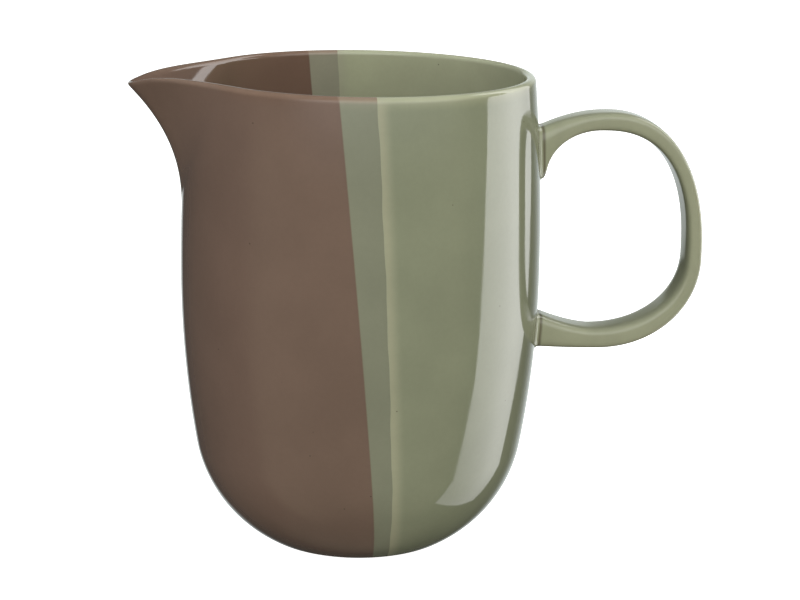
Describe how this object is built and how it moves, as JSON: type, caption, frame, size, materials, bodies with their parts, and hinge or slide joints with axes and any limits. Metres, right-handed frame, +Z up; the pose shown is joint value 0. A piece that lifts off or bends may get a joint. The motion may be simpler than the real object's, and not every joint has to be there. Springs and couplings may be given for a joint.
{
  "type": "stoneware jug",
  "caption": "Round-bottomed stoneware jug with a pulled beak, a strap handle and a dipped two-tone glaze that overlaps in a narrow band.",
  "frame": {"origin": "on the axis of the round body, in the plane of the foot ring on which the jug stands", "axes": "+Z up along the body axis, +X from the axis to the handle, -X to the beak, +Y away from the side pictured"},
  "size_m": [0.1843, 0.1149, 0.1515],
  "materials": {
    "bare_clay": "matte",
    "handle_clay": "matte",
    "slip": "matte",
    "brown_glaze": "glossy",
    "overlap_glaze": "glossy",
    "green_glaze": "glossy",
    "handle_glaze": "glossy"
  },
  "bodies": {
    "root": {"body": "bare_clay", "handle": "handle_clay", "upper_handle_slip": "slip", "lower_handle_slip": "slip", "brown_glaze": "brown_glaze", "overlap_glaze": "overlap_glaze", "green_glaze": "green_glaze", "handle_glaze": "handle_glaze"}
  },
  "joints": []
}
